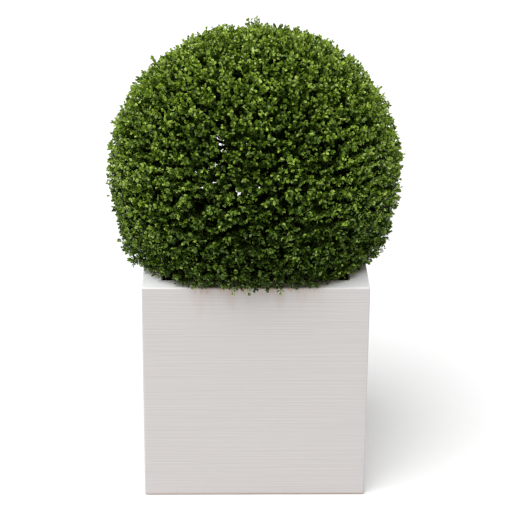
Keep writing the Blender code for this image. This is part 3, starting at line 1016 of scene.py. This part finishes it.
def grow_shoots(rng, twigs):
    """The centre lines of the sprays' stems and of their shoots, and each shoot's tone."""
    centre = np.array(BALL_CENTRE)
    heart = np.array(HEART)
    sprays, spray_tone, spray_reach, bases = spread_sprays(rng)
    away = unit(bases - heart)
    shoots, under, depth = spread_shoots(rng)
    spray = nearest(shoots, sprays)
    shoots = unit(shoots + (sprays[spray] - shoots) * CLUMPING)

    # How far out the clipped surface lies at each shoot, with its lumps, pits and tiers.
    pit = np.clip(noise_at(shoots, PIT_SIZE, PIT_SHIFT) * -2.2 - 0.35, 0, 1)
    below = np.clip((sprays[spray, 2] - shoots[:, 2]) / SPRAY_SPACING, -0.6, 0.6)
    reach = TIP_RADIUS + spray_reach[spray] + rng.normal(0, SHOOT_UNEVENNESS, len(shoots)) - TIER * below
    reach = np.minimum(reach, MOST_OUT) - PIT_DEPTH * pit - depth
    reach -= CROWN_TRIM * np.clip(1 - (1 - shoots @ unit(np.array(CROWN))) / CROWN_WIDTH, 0, 1)
    tips = centre + shoots * (reach + skirt(shoots))[:, None]
    ends = unit(unit(tips - heart) + UP * SHOOT_RISE + rng.normal(0, SHOOT_SPREAD, tips.shape))
    outside = np.abs(tips[:, :2]).max(axis=1) > HALF_WIDTH + OUTSIDE_BY
    lowest = np.where(outside, RIM + TIP_ABOVE_RIM, FOLIAGE_FLOOR + TIP_CLEARANCE)
    kept = (tips[:, 2] > lowest) & (bases[spray, 2] > FOLIAGE_FLOOR)

    # Painted shade and light: darker tones in pits, below the surface, on a spray's lower side, towards
    # the rim and at the front, lighter ones on the crown.
    tone = spray_tone[spray] + PIT_SHADE_TONE * pit + UNDER_SHADE_TONE * under + TIER_SHADE_TONE * below
    painted_low_shade = LOW_SHADE_TONE * np.clip(LOW_FROM - shoots[:, 2], 0, 1) / 0.6
    painted_crown_light = CROWN_LIGHT_TONE * np.clip(shoots[:, 2] - HIGH_FROM, 0, 1)
    tone += painted_low_shade - painted_crown_light
    tone += FRONT_SHADE_TONE * np.clip(-shoots[:, 1] - FRONT_FROM, 0, 1)
    tone += PATCH_TONE * noise_at(shoots, PATCH_SIZE, PATCH_SHIFT)

    extra_tips, extra_ends = special_tips(np.random.default_rng(SEED + 3))
    tips = np.concatenate([tips[kept], extra_tips])
    ends = np.concatenate([ends[kept], extra_ends])
    spray = np.concatenate([spray[kept], nearest(unit(extra_tips - centre), sprays)])
    tone = np.concatenate([tone[kept], np.zeros(len(extra_tips))])
    lines = curves(bases[spray], away[spray], tips, ends, SHOOT_STEPS)

    used = np.unique(spray)
    twig = nearest(away[used], unit(twigs[:, -1] - heart))
    ahead = unit(twigs[twig, -1] - twigs[twig, -2])
    stems = curves(twigs[twig, -1], ahead, bases[used], away[used], SHOOT_STEPS)
    return stems, lines, tone


def leaves_on(rng, lines, pairs, tone):
    """Origins, axes, sizes and tones of leaves in pairs set crosswise along the lines."""
    count, steps = lines.shape[:2]
    index = np.arange(count)
    length = np.linalg.norm(np.diff(lines, axis=1), axis=2).sum(axis=1)
    roll = rng.uniform(0, math.tau, count)
    shoot_size = LEAF_LENGTH * rng.normal(1, SHOOT_SIZE_SPREAD, count)
    found = []
    for k, (from_tip, scale, angle, pair_tone) in enumerate(pairs):
        share = 1 - from_tip * rng.uniform(*PAIR_UNEVENNESS, count) / length
        place = np.clip(share, 0, 0.999) * (steps - 1)
        step = place.astype(int)
        low, high = lines[index, step], lines[index, step + 1]
        node = low + (high - low) * (place - step)[:, None]
        axis = unit(high - low)
        first, second = square_to(axis)
        for side in (0, math.pi):
            turn = roll + side + k * math.pi / 2 + rng.normal(0, ROLL_SPREAD, count)
            radial = first * np.cos(turn)[:, None] + second * np.sin(turn)[:, None]
            lean = np.radians(angle + rng.normal(0, ANGLE_SPREAD, count))[:, None]
            along = axis * np.cos(lean) + radial * np.sin(lean)
            across = np.cross(axis, radial)
            normal = np.cross(across, along)
            normal = unit(normal + across * rng.normal(0, LEAF_TWIST, (count, 1)) + UP * LEAF_RISE)
            along = unit(along - (along * normal).sum(axis=1, keepdims=True) * normal)
            across = np.cross(along, normal)
            size = shoot_size * scale * rng.normal(1, SIZE_SPREAD, count)
            leaf_tone = pair_tone + tone + rng.normal(0, LEAF_TONE_SPREAD, count)
            leafy = share > BARE_SHARE
            found.append([a[leafy] for a in (node, across, along, normal, size, leaf_tone)])
    return [np.concatenate(parts) for parts in zip(*found)]


def clear_of_planter(points):
    """True for leaves, as arrays of points, that neither dip into the planter nor hang past it."""
    low = points[:, :, 2]
    out = np.abs(points[:, :, :2]).max(axis=2)
    beyond = (out > HALF_WIDTH + LEAF_CLEARANCE) & (low > RIM - SKIRT_DEPTH)
    return ((low > FOLIAGE_FLOOR - 0.001) | beyond).all(axis=1)


def make_foliage(bark, leaf_materials, shoot_material):
    """The ball: limbs, sprays of shoots, and leaves sorted into one piece or more for each tone."""
    twigs = grow_limbs(np.random.default_rng(SEED), bark)
    stems, lines, tone = grow_shoots(np.random.default_rng(SEED + 1), twigs)
    stems = bent_aside(stems, STEM_MARGIN)
    lines = bent_aside(lines, SHOOT_MARGIN)
    stems = stems[~crossing(stems, STEM_RADII[1])]
    clear = ~crossing(lines, SHOOT_RADII[1])
    lines, tone = lines[clear], tone[clear]
    rng = np.random.default_rng(SEED + 2)
    groups = (
        leaves_on(rng, lines, SHOOT_PAIRS, tone),
        leaves_on(rng, stems, STEM_PAIRS, rng.normal(0, INNER_TONE_SPREAD, len(stems))),
        leaves_on(rng, twigs, TWIG_PAIRS, rng.normal(0, INNER_TONE_SPREAD, len(twigs))),
    )
    *places, tones = (np.concatenate(parts) for parts in zip(*groups))
    leaf, plain_leaf = leaf_template(LEAF_CORNERS), leaf_template(PLAIN_LEAF_CORNERS)
    points, _ = place_copies(leaf, *places)
    middles = points.mean(axis=1, keepdims=True)
    half_way = (points + middles) / 2
    kept = clear_of_planter(points) & ~in_the_way(middles[:, 0], LEAF_MARGIN)
    kept &= ~in_the_way(np.concatenate([points, half_way], axis=1), LEAF_EDGE_MARGIN).any(axis=1)
    chosen = np.clip(np.round(tones), 0, len(TONES) - 1).astype(int)
    for t, (name, *_) in enumerate(TONES):
        template = plain_leaf if t >= PLAIN_FROM else leaf
        mine = np.flatnonzero(kept & (chosen == t))
        most = MOST_TRIANGLES // len(template[1])
        for part, start in enumerate(range(0, len(mine), most)):
            rows = mine[start:start + most]
            placed, triangles = place_copies(template, *(values[rows] for values in places))
            piece = array_object(
                f"{name}_{part + 1}", placed.reshape(-1, 3), triangles.reshape(-1, 3),
                leaf_materials[t], False,
            )
            finish_piece(piece, "foliage")
    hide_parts("foliage_ball")
    shoots = array_object("green_shoots", *tubes(lines, *SHOOT_RADII, 3), shoot_material, True)
    finish_piece(shoots, "foliage")
    spray_stems = array_object("spray_stems", *tubes(stems, *STEM_RADII, 4), bark, True)
    finish_piece(spray_stems, "bark")


def leaf_material(name, colour, roughness, gloss):
    """Box leaf: leathery, with a waxy gloss over a yellowish green."""
    material, _, shader = new_material(name)
    shader.inputs["Base Color"].default_value = linear(colour)
    shader.inputs["Roughness"].default_value = roughness
    shader.inputs["IOR"].default_value = 1.45
    shader.inputs["Specular IOR Level"].default_value = gloss
    return material


# ---- stage ----

HORIZON_LIGHT = 0.18
OVERHEAD_LIGHT = 0.87
SIDE_LIGHT = 0.42
KEY_STRENGTH = 2.8
KEY_AZIMUTH = -35
KEY_ELEVATION = 62
KEY_SOFTNESS = 60
FLOOR_SHADE = "#EAEAEA"
FLOOR_REACH = 30


def make_stage():
    """A pale floor under a white surround, brightest overhead and to the sides, and a soft key."""
    bm = bmesh.new()
    bmesh.ops.create_grid(bm, x_segments=1, y_segments=1, size=FLOOR_REACH)
    material, _, shader = new_material("pale_floor")
    shader.inputs["Base Color"].default_value = linear(FLOOR_SHADE)
    shader.inputs["Roughness"].default_value = 0.9
    mesh_object("floor", bm, material)

    world = bpy.data.worlds.new("surround")
    bpy.context.scene.world = world
    world.use_nodes = True
    tree = world.node_tree
    background = tree.nodes["Background"]
    background.inputs["Color"].default_value = (1, 1, 1, 1)
    direction = add(tree, "ShaderNodeTexCoord").outputs["Generated"]
    split = add(tree, "ShaderNodeSeparateXYZ", Vector=direction)
    strength = HORIZON_LIGHT
    for axis, light in (("Z", OVERHEAD_LIGHT), ("X", SIDE_LIGHT)):
        square = add(
            tree, "ShaderNodeMath", {"operation": "POWER"}, _0=split.outputs[axis], _1=2.0
        )
        strength = add(
            tree, "ShaderNodeMath", {"operation": "MULTIPLY_ADD"},
            _0=square.outputs[0], _1=light, _2=strength,
        ).outputs[0]
    tree.links.new(strength, background.inputs["Strength"])

    sun = bpy.data.lights.new("soft_key", "SUN")
    sun.energy = KEY_STRENGTH
    sun.angle = math.radians(KEY_SOFTNESS)
    lamp = bpy.data.objects.new("soft_key", sun)
    azimuth, elevation = math.radians(KEY_AZIMUTH), math.radians(KEY_ELEVATION)
    lamp.rotation_euler = towards(azimuth, elevation).to_track_quat("Z", "Y").to_euler()
    bpy.context.scene.collection.objects.link(lamp)
    bpy.context.scene.view_settings.view_transform = "Standard"


BARK = ("#3B2D22", "#8E7C69")
SHADED_BARK = ("#1A1610", "#3A3123")
GREEN_SHOOT = ("#3E5220", 0.5, 0.2)


def main():
    make_camera()
    bark = bark_material("box_bark", *BARK)
    shaded_bark = bark_material("shaded_box_bark", *SHADED_BARK)
    finish_piece(make_planter(planter_material()), "planter", "planter")
    finish_piece(make_soil(soil_material()), "soil", "soil")
    finish_piece(make_stem(bark), "bark", "stem")
    leaf_materials = [leaf_material("box_" + name, *finish) for name, *finish in TONES]
    make_foliage(shaded_bark, leaf_materials, leaf_material("box_green_shoot", *GREEN_SHOOT))
    make_stage()


main()
